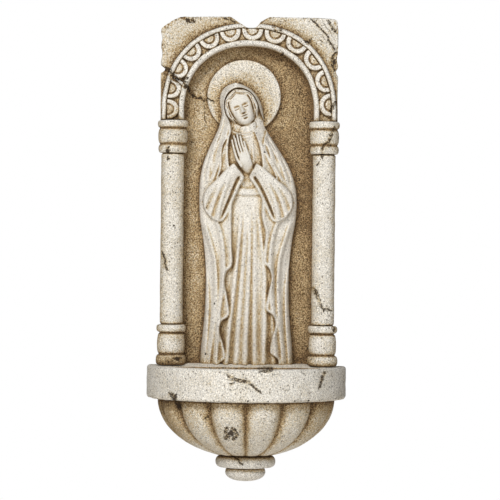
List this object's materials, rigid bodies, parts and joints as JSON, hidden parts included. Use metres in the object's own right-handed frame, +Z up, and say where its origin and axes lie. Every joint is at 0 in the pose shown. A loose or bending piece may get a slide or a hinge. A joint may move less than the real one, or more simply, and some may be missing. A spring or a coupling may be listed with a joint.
{
  "type": "wall holy water stoup",
  "caption": "Wall stoup in worn cast stone: an arched niche with columns and a praying relief figure above a fluted half-round basin with a lift-out liner.",
  "frame": {"origin": "on the wall face of the slab, on its centre line, level with the top of the basin rim", "axes": "+Z up, +Y into the wall, front faces -Y"},
  "size_m": [0.082, 0.044, 0.1908],
  "materials": {
    "pale_stone": "pale cast stone, pitted, with a brown wash in its recesses",
    "washed_stone": "cast stone under a golden brown wash, worn pale at the edges",
    "zinc_steel": "zinc-plated steel, dull",
    "liner_brass": "pressed brass, lightly tarnished"
  },
  "bodies": {
    "stoup": {"arch_lunette_01": "pale_stone", "arch_lunette_02": "pale_stone", "arch_lunette_03": "pale_stone", "arch_lunette_04": "pale_stone", "arch_lunette_05": "pale_stone", "arch_lunette_06": "pale_stone", "arch_lunette_07": "pale_stone", "arch_lunette_08": "pale_stone", "arch_lunette_09": "pale_stone", "arch_lunette_10": "pale_stone", "arch_lunette_11": "pale_stone", "arch_lunette_12": "pale_stone", "arch_moulding": "pale_stone", "back_slab": "washed_stone", "basin_rim": "pale_stone", "bowl_screw_left": "zinc_steel", "bowl_screw_right": "zinc_steel", "figure_screw_lower": "zinc_steel", "figure_screw_upper": "zinc_steel", "fluted_bowl": "pale_stone", "halo_disc": "pale_stone", "hanger_plate": "zinc_steel", "hanger_screw_left": "zinc_steel", "hanger_screw_right": "zinc_steel", "left_column_base": "pale_stone", "left_column_capital": "pale_stone", "left_column_rod": "zinc_steel", "left_column_shaft": "pale_stone", "pendant_collar": "pale_stone", "pendant_knob": "pale_stone", "pendant_stud": "zinc_steel", "relief_figure": "pale_stone", "right_column_base": "pale_stone", "right_column_capital": "pale_stone", "right_column_rod": "zinc_steel", "right_column_shaft": "pale_stone", "rim_screw_left": "zinc_steel", "rim_screw_right": "zinc_steel"},
    "liner": {"basin_liner": "liner_brass"}
  },
  "joints": [
    {"name": "liner_lift", "type": "slide", "parent": "stoup", "child": "liner", "axis": [0, 0, 1], "range_m": [0, 0.04]}
  ]
}
